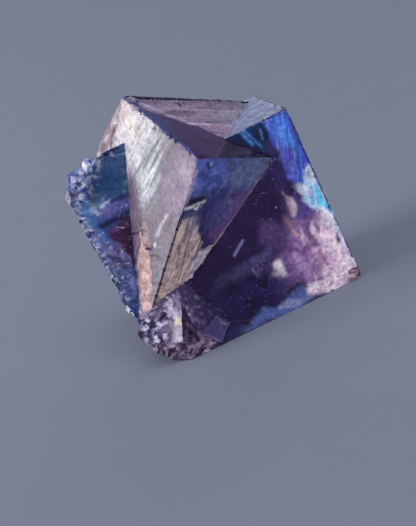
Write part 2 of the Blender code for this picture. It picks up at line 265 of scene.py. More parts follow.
def left_front_arcs(u, v):
    return np.hypot(u + 2.0, (v - 6.0) * 0.8)


def left_front_bumpy(u, v):
    return 1 - smooth(v - 1.3 * u, 7.0, 9.5)


def left_front_relief(u, v):
    lines = ridges(left_front_arcs(u, v), 0.48, 1.4 * waves(u, v, 1.6, 22))
    rough = 0.04 * lines + 0.03 * (1 + waves(u, v, 0.55, 24))
    return 0.014 * (1 + waves(u, v, 1.3, 23)) + left_front_bumpy(u, v) * rough


def rough_relief(u, v):
    return 0.04 * (1 + waves(u, v, 0.8, 27))


def lined_relief(u, v):
    lines = ridges(v, 0.4, 1.5 * waves(u * 0.4, v, 1.2, 28))
    return 0.04 * lines + 0.02 * (1 + waves(u, v, 0.5, 29))


EDGE_WEAR = 0.03
OTHER_RELIEF = 0.03
# The share of a step's height that it sinks by, and the size of the twin's blunted corner
STEP_SUNK = 0.8
CORNER_FLAT = 0.3
# The mesh: rounds of splitting, what is merged, the sharpest smooth edge, an area near nothing
SPLIT_ROUNDS = 9
MERGED = 0.0005
SHARP_ANGLE = math.radians(24)
LEAST_AREA = 1e-5


# Colours are sRGB out of 255. A clearness is the share of light that goes through, not back
EVERYWHERE = 1.0


def colour(red, green, blue):
    share = np.array((red, green, blue)) / 255
    return np.where(share <= 0.04045, share / 12.92, ((share + 0.055) / 1.055) ** 2.4)


class Skin:
    """Colour, frosting and clearness at many places of one face, painted zone by zone."""

    def __init__(self, u, v, ground, frost, clear):
        self.u = u
        self.v = v
        self.wander_u = u + 0.2 * waves(u, v, 1.5, 41) + 0.08 * waves(u, v, 0.45, 43)
        self.wander_v = v + 0.2 * waves(v, u, 1.5, 42) + 0.08 * waves(v, u, 0.45, 44)
        self.shade = np.tile(colour(*ground), (len(u), 1))
        self.frost = np.full(len(u), frost)
        self.clear = np.full(len(u), clear)
        self.across = u
        self.stripes = self.pits = self.dust = 0.0

    def blend(self, mask, paint, frost=None, clear=None):
        self.shade = self.shade * (1 - mask[:, None]) + colour(*paint) * mask[:, None]
        if frost is not None:
            self.frost = self.frost * (1 - mask) + frost * mask
        if clear is not None:
            self.clear = self.clear * (1 - mask) + clear * mask

    def oval(self, x, y, wide, high, paint, share=0.9, turn=0, edge=0.6, **finish):
        mask = spot(self.wander_u, self.wander_v, x, y, wide, high, turn, edge)
        self.blend(share * mask, paint, **finish)

    def patch(self, corners, paint, share=0.95, edge=0.1, **finish):
        mask = convex(self.wander_u, self.wander_v, corners, edge)
        self.blend(share * mask, paint, **finish)

    def stroke(self, start, end, width, paint, share=1.0, **finish):
        self.blend(share * line(self.u, self.v, start, end, width), paint, **finish)

    def streaks(self, mask, spacing, length, paint, share, seed):
        """Broken parallel streaks along the stripes, inside a mask."""
        drawn = waves(self.across / spacing, self.v / length, 1.0, seed)
        self.blend(share * mask * smooth(drawn, 0.25, 0.9), paint)

    def flecks(self, mask, size, paint, share, seed, least=0.5):
        """Irregular flecks of about that size, inside a mask."""
        drawn = waves(self.u, self.v, size, seed) + 0.6 * waves(self.v, self.u, size * 0.6, seed + 1)
        self.blend(share * mask * smooth(drawn, least, least + 0.35), paint)


def convex(u, v, corners, edge):
    """Share of a convex outline, with soft sides."""
    middle = np.mean(corners, axis=0)
    inside = np.full_like(u, np.inf)
    for one, two in zip(corners, corners[1:] + corners[:1]):
        run = np.subtract(two, one)
        out = np.array((run[1], -run[0])) / np.hypot(*run)
        if out @ np.subtract(middle, one) > 0:
            out = -out
        inside = np.minimum(inside, -((u - one[0]) * out[0] + (v - one[1]) * out[1]))
    return smooth(inside, -edge, edge)


def paint_shoulder(u, v):
    skin = Skin(u, v, (172, 144, 156), 0.4, 0.12)
    skin.across = u - 0.3 * v
    skin.oval(0.3, 1.0, 0.7, 1.6, (238, 220, 220), 0.8)
    skin.streaks(EVERYWHERE, 0.5, 1.2, (104, 72, 88), 0.85, 80)
    skin.streaks(EVERYWHERE, 0.35, 1.0, (250, 240, 240), 0.7, 81)
    skin.stripes = 0.9
    skin.pits = 0.4
    return skin


SALMON = [
    (3.7, 8.0), (1.6, 9.0), (1.3, 9.8), (0.45, 10.6),
    (0.1, 12.6), (0.7, 13.4), (1.5, 12.8), (3.0, 11.0),
]


def paint_twin_front(u, v):
    skin = Skin(u, v, (127, 112, 128), 0.42, 0.1)
    skin.across = twin_front_stripes(u, v)
    skin.oval(1.2, 2.4, 2.3, 3.2, (154, 136, 156))
    skin.oval(0.9, 1.0, 1.0, 1.1, (170, 150, 166), 0.8)
    # Near white ovals: the face's pale frosted colour with painted glare, a painted reflection of bright
    # light
    skin.oval(6.9, 1.8, 3.6, 3.4, (250, 246, 240), 0.98, 20, 0.5)
    skin.oval(4.7, 3.4, 1.5, 3.4, (240, 248, 244), 0.9, 24)
    skin.oval(7.4, 1.5, 1.3, 1.0, (254, 242, 224), 0.8)
    skin.oval(9.2, 0.7, 1.5, 1.3, (234, 216, 214), 0.85)
    # In the striations the grey streaks are painted shade and the pale streaks are painted highlights
    lined = spot(u, v, 4.8, 3.0, 2.9, 3.3, 22, 0.5)
    skin.streaks(lined, 0.42, 5.0, (126, 128, 138), 0.85, 45)
    skin.streaks(spot(u, v, 6.6, 2.0, 2.2, 2.4, 22, 0.5), 0.3, 2.0, (206, 206, 210), 0.6, 76)
    skin.oval(10.6, 3.0, 1.2, 4.4, (156, 120, 134))
    skin.oval(5.0, 7.2, 1.0, 3.0, (134, 110, 136), 0.85, 24)
    skin.stroke((6.3, 5.0), (3.3, 11.0), 0.3, (110, 84, 112), 0.85)
    skin.oval(2.6, 6.4, 1.5, 1.8, (134, 120, 136), 0.7)
    skin.oval(1.3, 8.3, 1.1, 1.6, (132, 124, 134), 0.85)
    skin.oval(0.5, 10.2, 0.6, 2.2, (130, 122, 130), 0.85)
    # The salmon patch and its flecks: partly the face's own frosted colour, partly painted reflection
    inside = convex(u, v, SALMON, 0.1)
    skin.patch(SALMON, (226, 186, 174), 0.97, 0.06)
    skin.patch([(3.6, 6.6), (3.0, 7.0), (2.6, 8.8), (3.4, 8.4)], (200, 164, 158), 0.8, 0.15)
    skin.flecks(inside, 0.32, (170, 118, 124), 0.6, 46, 0.4)
    skin.flecks(inside * smooth(v, 10.4, 11.4), 0.22, (134, 84, 102), 0.7, 55, 0.6)
    skin.flecks(spot(u, v, 3.5, 7.7, 0.7, 1.1, 0, 0.4), 0.22, (78, 60, 80), 0.9, 56, 0.3)
    skin.flecks(spot(u, v, 1.7, 8.6, 1.2, 0.9, 0, 0.4), 0.3, (92, 86, 98), 0.8, 57, 0.4)
    skin.stroke((1.35, 4.9), (1.6, 6.0), 0.1, (240, 230, 236))
    skin.stroke((1.6, 6.0), (1.8, 7.1), 0.16, (214, 206, 214), 0.9)
    skin.stroke((0.95, 4.4), (0.85, 6.0), 0.12, (92, 74, 98), 0.85)
    skin.stroke((2.15, 9.0), (0.95, 8.25), 0.08, (44, 34, 50), 0.95)
    skin.oval(1.75, 7.9, 0.22, 0.26, (255, 254, 252), 1.0)
    skin.stroke((9.5, 0.02), (4.6, 0.02), 0.12, (238, 222, 220), 0.7)
    skin.flecks(smooth(-v, -0.34, -0.1) * smooth(-u, -5.4, -4.4), 0.3, (56, 62, 124), 0.8, 58, 0.2)
    skin.flecks(spot(u, v, 5.0, 0.2, 0.5, 0.4, 0, 0.4), 0.3, (56, 60, 112), 0.9, 77, 0.0)
    skin.oval(0.0, 0.0, 0.5, 0.5, (82, 88, 146), 0.8, 0, 0.4)
    skin.stripes = lined * 0.7
    skin.pits = 0.14 + 0.35 * smooth(u, 6.5, 9.0) + 0.2 * inside
    skin.dust = 0.04 + 0.12 * smooth(-v, -7.0, -4.0)
    return skin


SLIVER = [(9.7, -0.1), (-0.2, -0.2), (-0.2, 8.2), (3.1, 5.1)]


def paint_twin_top(u, v):
    skin = Skin(u, v, (164, 148, 168), 0.36, 0.1)
    skin.oval(9.3, 5.0, 0.65, 8.0, (146, 132, 150), 0.8, 0, 0.3)
    skin.oval(7.6, 10.0, 2.4, 3.0, (172, 162, 172), 0.8)
    skin.oval(7.0, 3.4, 1.4, 3.2, (172, 152, 174), 0.7)
    skin.patch([(5.3, 2.4), (5.2, 8.2), (3.2, 7.0), (3.3, 5.0)], (172, 142, 166), 0.9, 0.12)
    skin.stroke((5.38, 2.2), (5.15, 8.4), 0.08, (250, 228, 236))
    skin.stroke((5.6, 2.0), (5.5, 8.0), 0.08, (104, 82, 106), 0.7)
    skin.stroke((4.95, 2.4), (3.6, 5.4), 0.1, (72, 52, 76), 0.8)
    skin.stroke((8.65, -0.2), (8.7, 5.3), 0.1, (52, 38, 60), 0.95)
    skin.stroke((8.2, 5.4), (8.4, 10.5), 0.12, (116, 100, 114), 0.6)
    skin.streaks(EVERYWHERE, 0.4, 9.0, (118, 96, 116), 0.5, 47)
    skin.patch(SLIVER, (64, 34, 84), 0.98, 0.04, frost=0.16, clear=0.1)
    inside = convex(u, v, SLIVER, 0.05)
    skin.oval(6.2, 0.5, 3.0, 1.0, (56, 58, 112))
    skin.oval(2.4, 2.4, 1.4, 1.0, (60, 32, 72), 0.7)
    skin.stroke((9.6, 0.05), (0.6, 0.05), 0.16, (84, 94, 168), 0.8)
    skin.patch([(3.05, 5.05), (0.35, 1.9), (-0.4, 2.4), (-0.4, 8.2), (0.2, 8.2)], (28, 4, 42), 0.97, 0.05)
    skin.stroke((3.05, 5.05), (0.3, 1.8), 0.06, (110, 88, 118), 0.6)
    skin.stroke((1.6, 4.6), (1.0, 5.6), 0.06, (120, 100, 124), 0.5)
    skin.stripes = smooth(u, 3.0, 5.0) * 0.5 * (1 - inside)
    skin.pits = 0.12 * (1 - inside)
    return skin


BEIGE = [
    (0.1, 4.4), (0.9, 4.4), (1.9, 5.2), (2.7, 6.7),
    (3.0, 9.5), (1.0, 12.0), (0.1, 13.2), (-0.4, 8.0),
]
CHEVRON = [(2.8, 7.6), (5.2, 7.2), (3.4, 10.2), (2.9, 9.6)]
LOW_BEVEL = [(4.0, 9.6), (2.9, 9.5), (0.2, 12.3), (0.6, 13.2), (2.6, 12.0)]


def paint_twin_right(u, v):
    skin = Skin(u, v, (60, 56, 112), 0.22, 0.12)
    skin.oval(1.2, 1.0, 2.4, 1.8, (118, 132, 214))
    skin.flecks(spot(u, v, 1.6, 2.2, 2.2, 1.6), 0.7, (70, 84, 160), 0.7, 78, 0.0)
    skin.oval(0.1, 2.0, 0.45, 0.9, (160, 160, 220), 0.6)
    skin.patch([(3.0, -0.2), (8.0, -0.2), (5.6, 3.0), (3.0, 1.8)], (130, 148, 184), 0.85, 0.5)
    skin.streaks(spot(u, v, 4.6, 1.6, 2.8, 1.8), 0.9, 1.6, (84, 96, 156), 0.7, 59)
    skin.oval(2.2, 2.7, 1.8, 0.5, (60, 66, 136), 0.8, -8)
    skin.oval(1.0, 3.0, 1.1, 0.6, (120, 134, 184), 0.7)
    skin.oval(5.2, 4.6, 1.8, 2.8, (136, 98, 148), 0.92, 30)
    skin.oval(3.6, 4.4, 1.6, 1.6, (98, 92, 158), 0.8, 20)
    skin.oval(3.0, 5.6, 1.2, 0.8, (96, 88, 144), 0.8)
    skin.oval(4.6, 6.4, 1.4, 0.8, (134, 90, 146))
    inside = convex(skin.wander_u, skin.wander_v, BEIGE, 0.15)
    # The beige facet, the chevron and the low bevel are painted near white: partly their own frosted
    # colour, partly painted light, as these facets are turned away from the lamps
    skin.patch(BEIGE, (255, 224, 202), 0.97, frost=0.42, clear=0.02)
    skin.oval(1.4, 5.2, 0.8, 0.9, (206, 192, 206), 0.8)
    upper = inside * (0.35 + 0.65 * smooth(-v, -8.6, -7.2)) * smooth(-v, -11.5, -10.0)
    skin.streaks(upper * smooth(u, 0.6, 1.3), 0.42, 5.0, (72, 46, 66), 0.95, 48)
    skin.streaks(inside * smooth(-u, -1.5, -0.7), 0.35, 3.0, (190, 158, 156), 0.7, 60)
    skin.flecks(inside * smooth(v, 9.0, 10.4), 0.3, (170, 132, 136), 0.7, 99, 0.4)
    skin.patch(CHEVRON, (255, 236, 240), 0.95, 0.07, frost=0.4, clear=0.02)
    skin.patch(LOW_BEVEL, (255, 228, 226), 0.92, frost=0.4, clear=0.02)
    skin.streaks(convex(u, v, LOW_BEVEL, 0.1), 0.5, 3.0, (140, 108, 132), 0.5, 91)
    skin.stroke((3.0, 7.55), (5.1, 7.15), 0.09, (240, 206, 190), 0.85)
    skin.stroke((2.9, 9.6), (0.5, 12.1), 0.08, (250, 224, 210), 0.7)
    skin.stroke((7.1, 0.5), (6.5, 1.8), 0.12, (190, 180, 206), 0.85)
    skin.stroke((6.5, 1.8), (5.3, 5.1), 0.14, (240, 210, 210), 0.9)
    skin.stroke((5.3, 5.1), (3.9, 7.9), 0.15, (255, 222, 206), 0.95)
    skin.streaks(spot(u, v, 4.6, 2.6, 2.8, 2.2), 0.5, 0.8, (150, 156, 196), 0.35, 79)
    # Around the nick: a dark spot of painted shadow, a dark line along it, then the nick's white chips
    skin.blend(spot(u, v, 1.0, 3.4, 1.3, 0.7, -10, 0.4), (44, 46, 84), frost=0.25, clear=0.02)
    skin.stroke((0.1, 3.2), (1.5, 3.0), 0.12, (14, 12, 34), 0.97)
    skin.stroke((0.1, 3.75), (0.9, 3.62), 0.12, (222, 218, 222))
    skin.stroke((0.9, 3.62), (1.8, 3.25), 0.13, (255, 252, 244))
    skin.oval(0.9, 4.1, 0.8, 0.3, (100, 108, 146), 0.9, -10)
    skin.oval(1.1, 0.45, 0.3, 0.25, (38, 40, 100))
    skin.oval(1.2, 0.3, 0.2, 0.14, (190, 196, 236))
    rim = smooth(-u, -0.36, -0.1) * smooth(v, 0.5, 1.0) * smooth(-v, -3.9, -3.2)
    skin.blend(rim * 0.9, (206, 186, 206), frost=0.4, clear=0.12)
    skin.stroke((0.02, 4.2), (0.06, 12.3), 0.11, (20, 16, 34), 0.97)
    skin.stripes = 1.6 * spot(u, v, 1.8, 7.2, 1.7, 3.4) * smooth(u, 0.3, 0.8)
    skin.dust = 0.35 * (1 - inside)
    skin.pits = 0.2 * inside
    return skin


BLUE = [(15.1, 13.8), (17.4, 13.9), (17.4, 9.0), (16.3, 8.3), (15.3, 9.2), (15.2, 11.4)]
CYAN = [(16.9, 9.3), (17.4, 9.3), (17.4, 3.9), (17.0, 3.9), (15.5, 7.2)]


def pink_zone(skin, u, v):
    """The pink and violet zone in the right half: partly the crystal's colour, partly painted light that
    shines through it, with painted highlights in its streaks.
    """
    skin.oval(14.2, 9.4, 1.5, 2.2, (62, 42, 102))
    skin.oval(14.4, 3.9, 3.0, 4.4, (170, 128, 176), 0.95, 8, clear=0.05)
    skin.oval(11.7, 3.8, 1.8, 2.5, (128, 100, 160), 0.8)
    skin.oval(12.4, 5.6, 1.0, 1.3, (146, 116, 156), 0.7)
    skin.oval(16.1, 2.6, 1.6, 2.9, (255, 220, 238), 0.95, 0, clear=0.02)
    skin.oval(15.3, 4.6, 0.3, 1.3, (96, 62, 122), 0.85, 8)
    skin.oval(16.5, 2.2, 0.16, 1.5, (160, 118, 150), 0.8, 4)
    skin.oval(15.8, 3.2, 0.3, 1.4, (255, 232, 240), 0.9, 6)
    skin.oval(15.1, 2.8, 0.45, 1.5, (206, 160, 192), 0.7, 10)
    skin.streaks(spot(u, v, 15.4, 3.4, 2.2, 3.4), 0.5, 1.4, (255, 232, 236), 0.7, 49)
    skin.flecks(spot(u, v, 14.2, 5.4, 2.4, 2.8), 0.6, (84, 58, 118), 0.55, 50, 0.4)
    skin.stroke((15.3, 5.2), (15.5, 3.0), 0.2, (255, 226, 232), 0.8)
    skin.stroke((14.8, 2.6), (14.9, 1.4), 0.22, (255, 224, 228), 0.7)
    skin.stroke((14.5, 5.0), (14.8, 3.4), 0.16, (240, 190, 206), 0.7)
    skin.stroke((15.1, 3.4), (15.2, 2.0), 0.12, (110, 70, 120), 0.7)
    skin.flecks(spot(u, v, 13.4, 3.4, 2.4, 3.0), 0.8, (112, 80, 130), 0.7, 61, 0.2)
    skin.patch([(14.4, 8.2), (16.4, 7.9), (16.2, 5.6), (14.6, 6.6)], (96, 76, 150), 0.85, 0.3)
    skin.streaks(spot(u, v, 15.4, 6.9, 1.3, 1.5), 0.4, 1.0, (44, 34, 96), 0.8, 62)


def blue_zone(skin, u, v):
    """The blue upper right corner and the teal one beside it, behind sharp blue lines."""
    skin.patch(BLUE, (84, 116, 234), 0.97, 0.22, clear=0.1)
    skin.oval(16.4, 12.0, 0.8, 2.0, (100, 160, 255))
    skin.oval(15.7, 10.4, 0.8, 1.6, (122, 112, 232))
    skin.oval(17.0, 10.2, 0.35, 1.6, (66, 90, 206), 0.7)
    skin.streaks(convex(u, v, BLUE, 0.2), 0.28, 5.0, (40, 52, 136), 0.5, 51)
    skin.streaks(convex(u, v, BLUE, 0.2), 0.22, 3.5, (140, 178, 240), 0.5, 100)
    skin.patch([(12.3, 14.0), (15.2, 13.6), (15.2, 11.2), (14.9, 10.7)], (22, 48, 88), 0.97)
    skin.oval(14.9, 11.6, 0.6, 0.7, (66, 58, 116), 0.85)
    skin.stroke((12.4, 14.0), (15.4, 13.6), 0.2, (48, 100, 168), 0.7)
    skin.stroke((13.5, 13.9), (14.0, 12.4), 0.12, (100, 164, 236))
    skin.stroke((13.8, 13.8), (14.5, 12.0), 0.09, (86, 146, 226))
    skin.stroke((14.9, 13.2), (14.8, 12.4), 0.07, (126, 168, 218), 0.8)


def cyan_reflection(skin, u, v):
    """The cyan and white painted reflection inside the crystal, on the right side."""
    skin.patch(CYAN, (228, 240, 255), 0.97, 0.12, clear=0.02)
    skin.oval(16.5, 6.9, 0.6, 1.5, (96, 222, 255), 0.97, 12, 0.5)
    skin.oval(17.0, 5.4, 0.34, 1.2, (70, 210, 250), 0.9, 4, 0.5)
    skin.oval(16.1, 7.6, 0.3, 0.9, (176, 206, 255), 0.8, 20, 0.5)
    skin.streaks(convex(u, v, CYAN, 0.1), 0.5, 2.0, (60, 170, 224), 0.3, 92)
    skin.oval(16.0, 7.9, 0.45, 0.8, (240, 246, 255), 0.8, 20, 0.5)
    skin.streaks(convex(u, v, CYAN, 0.1), 0.3, 3.0, (255, 255, 255), 0.5, 52)
    skin.oval(17.0, 8.4, 0.25, 0.16, (24, 90, 130))
    skin.flecks(spot(u, v, 17.1, 5.0, 0.35, 1.6), 0.3, (44, 56, 104), 0.85, 63, 0.4)


def warm_reflections(skin, u, v):
    """Salmon and white painted reflections and highlights in the pink zone, and its pale foot."""
    skin.oval(16.5, 5.0, 0.5, 1.0, (255, 244, 244), 0.85, 10)
    skin.patch([(14.3, 8.5), (14.9, 8.1), (14.9, 7.0), (14.5, 6.6)], (255, 222, 224), 0.97, 0.12)
    skin.stroke((13.75, 6.9), (13.85, 5.9), 0.2, (255, 204, 196), 0.9)
    skin.stroke((13.85, 5.9), (14.15, 5.0), 0.14, (255, 194, 190), 0.8)
    skin.streaks(spot(u, v, 14.6, 7.4, 1.0, 1.3, 0, 0.4), 0.3, 1.0, (84, 64, 124), 0.4, 93)
    skin.blend(spot(u, v, 11.6, 7.6, 3.2, 4.4, -20, 0.4), (38, 20, 62), clear=0.0)
    skin.oval(12.6, 6.0, 1.2, 1.3, (96, 70, 120), 0.7)
    skin.oval(11.8, 3.35, 0.6, 0.8, (255, 240, 238), 0.97, 0, 0.5)
    skin.oval(16.4, 3.2, 0.35, 0.9, (255, 238, 232))
    skin.oval(16.6, 1.5, 0.7, 0.5, (255, 232, 230))
    skin.oval(17.1, 2.6, 0.28, 2.2, (236, 228, 244), 0.8)
    skin.oval(16.9, 3.3, 0.16, 0.6, (44, 40, 100), 0.9, 8)
    skin.patch([(13.2, 1.3), (16.6, 1.3), (16.8, 0.2), (12.8, 0.1)], (246, 224, 228), 0.92, 0.2, clear=0.05)
    skin.flecks(spot(u, v, 14.6, 0.6, 1.6, 0.5, 0, 0.3), 0.25, (132, 108, 124), 0.7, 65, 0.7)


def dark_foot(skin, u, v):
    """The dark zone low down, the blue foot and the scratch."""
    skin.oval(9.6, 2.5, 2.6, 1.3, (42, 28, 90), 0.92)
    skin.flecks(spot(u, v, 9.4, 2.9, 2.6, 1.6), 0.8, (24, 12, 48), 0.8, 94, 0.2)
    skin.oval(12.2, 1.2, 1.2, 0.5, (32, 22, 66), 0.8)
    skin.oval(8.9, 4.5, 2.4, 0.6, (90, 80, 126), 0.6, 5, 0.95)
    skin.oval(11.2, 4.9, 1.0, 0.5, (92, 84, 132), 0.6)
    skin.patch([(8.2, 0.9), (12.8, 1.2), (13.2, 0.0), (7.4, 0.0)], (92, 110, 168), 0.9, 0.25, clear=0.15)
    skin.streaks(spot(u, v, 10.5, 0.5, 3.0, 0.6, 0, 0.4), 1.4, 0.5, (158, 170, 204), 0.6, 66)
    skin.oval(6.8, 0.4, 1.6, 0.5, (90, 100, 140), 0.8)
    skin.stroke((9.2, 5.8), (10.4, 6.6), 0.075, (160, 160, 212), 0.75)
    skin.stroke((14.4, 10.85), (12.2, 9.6), 0.1, (130, 116, 160), 0.8)
    skin.stroke((12.2, 9.6), (7.8, 7.15), 0.1, (196, 164, 170), 0.85)
    skin.stroke((10.0, 4.4), (10.2, 3.6), 0.06, (158, 148, 190), 0.7)
    skin.oval(6.2, 1.6, 1.6, 2.6, (44, 32, 84), 0.8)


def rough_foot(skin, u, v):
    """The rough foot of the host's front, with painted glints and highlights, around the small crystal
    there.
    """
    corner = smooth(-u, -5.6, -4.6) * smooth(-v, -5.8, -5.0)
    skin.blend(corner, (102, 86, 122), frost=0.3, clear=0.05)
    skin.flecks(corner, 0.9, (50, 34, 70), 0.85, 95, -0.1)
    skin.flecks(corner * smooth(-v, -3.0, -2.0), 0.5, (150, 120, 138), 0.7, 82, 0.1)
    # Sparse white flecks: painted glints
    skin.flecks(corner, 0.22, (232, 228, 246), 0.85, 96, 1.2)
    skin.patch([(4.3, 5.2), (2.4, 4.8), (1.4, 3.4), (1.8, 2.2), (3.4, 2.2)], (164, 150, 180), 0.9, 0.2)
    glassy = [(3.5, 5.4), (2.8, 5.1), (2.4, 3.6), (2.6, 2.6), (3.3, 2.6), (3.7, 4.4)]
    skin.patch(glassy, (226, 214, 228), 0.9)
    # Dense white flecks left of the small crystal: painted glints
    skin.flecks(spot(u, v, 1.3, 3.2, 1.2, 1.8), 0.34, (246, 244, 255), 0.9, 83, 0.3)
    skin.flecks(spot(u, v, 2.6, 3.9, 1.4, 1.2), 0.5, (84, 70, 104), 0.8, 84, 0.2)
    skin.flecks(corner, 0.28, (52, 36, 66), 0.7, 85, 0.7)
    # Beige flecks low down: painted highlights
    skin.flecks(smooth(-v, -1.6, -0.8) * corner, 0.3, (214, 186, 176), 0.7, 86, 0.7)
    skin.patch([(4.4, 5.2), (5.2, 5.0), (6.6, 1.9), (6.2, 1.0), (4.6, 1.2)], (60, 44, 82), 0.9, 0.15)
    skin.flecks(spot(u, v, 5.4, 2.8, 1.0, 2.4, 20, 0.5), 0.3, (128, 116, 150), 0.7, 87, 0.6)


def paint_host_front(u, v):
    skin = Skin(u, v, (40, 20, 62), 0.13, 0.35)
    skin.across = u - 0.32 * v
    for part in (pink_zone, blue_zone, cyan_reflection, warm_reflections, dark_foot, rough_foot):
        part(skin, u, v)
    skin.stripes = convex(u, v, BLUE, 0.3) + 0.3 * convex(u, v, CYAN, 0.2)
    skin.dust = 0.18 + 0.5 * spot(u, v, 10.0, 2.6, 3.6, 2.6)
    skin.pits = 0.3 * spot(u, v, 14.8, 3.4, 3.0, 4.0)
    return skin


def paint_left_front(u, v):
    skin = Skin(u, v, (60, 90, 150), 0.14, 0.3)
    skin.across = left_front_arcs(u, v)
    skin.patch([(2.6, 17.0), (6.0, 17.0), (4.9, 13.2), (3.0, 13.4)], (70, 100, 136), 0.95, 0.5)
    skin.oval(4.0, 15.9, 1.0, 0.7, (70, 92, 132), 0.7)
    skin.oval(3.3, 15.3, 1.3, 1.2, (38, 78, 124))
    skin.oval(2.2, 14.8, 0.8, 1.0, (34, 64, 112), 0.8)
    skin.oval(4.7, 14.2, 0.9, 0.5, (70, 140, 150), 0.6)
    # A painted glint: a pale blue oval with white streaks and flecks
    skin.oval(1.9, 13.5, 1.0, 0.6, (150, 176, 210), 0.8)
    skin.streaks(spot(u, v, 2.0, 13.6, 1.4, 1.0), 0.4, 1.6, (210, 226, 246), 0.8, 97)
    skin.flecks(spot(u, v, 1.9, 13.4, 1.2, 0.7, 0, 0.4), 0.3, (226, 236, 250), 0.9, 67, 0.3)
    skin.oval(0.5, 13.4, 0.7, 1.8, (92, 138, 198), 0.8)
    skin.oval(2.6, 14.3, 1.6, 0.7, (36, 72, 112), 0.8, 20)
    skin.oval(2.9, 12.8, 1.8, 0.6, (112, 106, 174), 0.9, 4)
    skin.stroke((2.6, 13.5), (4.0, 13.4), 0.16, (40, 34, 88), 0.9)
    skin.stroke((0.9, 12.15), (3.9, 12.1), 0.26, (30, 14, 54), 0.97)
    skin.oval(0.3, 10.9, 1.2, 1.4, (112, 130, 186))
    skin.oval(1.1, 9.4, 1.1, 1.3, (148, 136, 182), 0.85)
    skin.oval(0.4, 8.1, 0.9, 0.9, (88, 112, 156), 0.8)
    skin.oval(1.2, 6.8, 0.9, 1.2, (150, 150, 220))
    bumpy = left_front_bumpy(u, v)
    low = 1 - smooth(v, 11.3, 12.3)
    rough = np.clip(bumpy + 0.7 * low * smooth(-u, -1.8, -1.0), 0, 1)
    skin.flecks(rough, 0.4, (60, 62, 124), 0.6, 68, 0.3)
    skin.flecks(rough, 0.3, (150, 158, 206), 0.45, 69, 0.7)
    # Sparse white flecks on the rough part: painted glints
    skin.flecks(rough, 0.22, (236, 240, 255), 0.9, 70, 1.25)
    skin.streaks(rough, 0.5, 1.0, (40, 52, 104), 0.6, 98)
    skin.patch([(1.4, 11.85), (3.9, 11.9), (3.6, 8.4), (2.0, 7.6), (1.7, 10.0)], (78, 36, 74), 0.97)
    skin.oval(2.7, 9.2, 0.7, 1.8, (36, 16, 48))
    skin.oval(2.1, 11.5, 0.5, 0.25, (112, 80, 132), 0.8)
    # Light blue and white flecks along the rims: partly white grains, partly painted glints
    rim = line(u, v, (-0.2, 14.4), (3.0, 17.3), 0.8)
    rim = np.maximum(rim, 0.7 * line(u, v, (0.0, 14.6), (0.0, 6.0), 0.35))
    skin.flecks(rim, 0.4, (34, 50, 104), 0.9, 88, 0.0)
    skin.flecks(rim, 0.36, (150, 186, 234), 0.9, 89, 0.2)
    skin.flecks(rim, 0.34, (255, 250, 252), 1.0, 90, 0.2)
    skin.stripes = bumpy * 0.9
    skin.dust = 0.12 + 0.3 * rough
    skin.pits = 0.3 * rough
    return skin


def paint_host_top(u, v):
    skin = Skin(u, v, (176, 186, 212), 0.5, 0.25)
    skin.flecks(EVERYWHERE, 0.5, (120, 130, 160), 0.6, 71, 0.2)
    return skin


def paint_bevel(u, v):
    skin = Skin(u, v, (128, 150, 208), 0.2, 0.2)
    skin.oval(-1.2, 0.0, 1.2, 0.5, (200, 212, 240), 0.7)
    skin.flecks(EVERYWHERE, 0.4, (50, 64, 132), 0.7, 72, 0.3)
    skin.flecks(EVERYWHERE, 0.3, (226, 222, 236), 0.8, 73, 0.9)
    return skin


# The spur's left side: its pale ground is partly painted light, on the side that faces the lamp
def paint_spur_left(u, v):
    skin = Skin(u, v, (200, 192, 204), 0.4, 0.08)
    skin.blend(smooth(v, 0.7, 1.3), (88, 72, 100))
    skin.flecks(smooth(v, 0.9, 1.4), 0.4, (190, 186, 206), 0.8, 74, 0.4)
    skin.streaks(EVERYWHERE, 0.35, 3.0, (150, 132, 150), 0.7, 53)
    skin.oval(-1.9, 0.4, 0.34, 0.4, (252, 232, 200), 0.8)
    skin.pits = 0.3
    return skin


# The spur's right side: its dark ground is partly painted shade, on the side turned away from the light
def paint_spur_right(u, v):
    skin = Skin(u, v, (62, 40, 68), 0.3, 0.1)
    skin.flecks(EVERYWHERE, 0.4, (112, 96, 128), 0.75, 54, 0.2)
    skin.flecks(EVERYWHERE, 0.3, (24, 14, 34), 0.8, 75, 0.5)
    skin.dust = 0.4
    return skin


# Faces whose thin plates are laid flat, and faces whose steps stay but sink in
PLATED = ("twin front", "host front", "left front")
STEPPED = ("twin top",)
# How each face is carved and painted
LOOKS = {
    "shoulder": (shoulder_relief, paint_shoulder),
    "twin front": (twin_front_relief, paint_twin_front),
    "twin top": (twin_top_relief, paint_twin_top),
    "twin right": (twin_right_relief, paint_twin_right),
    "host front": (host_front_relief, paint_host_front),
    "left front": (left_front_relief, paint_left_front),
    "host top": (rough_relief, paint_host_top),
    "bevel": (lined_relief, paint_bevel),
    "spur left": (lined_relief, paint_spur_left),
    "spur right": (rough_relief, paint_spur_right),
}

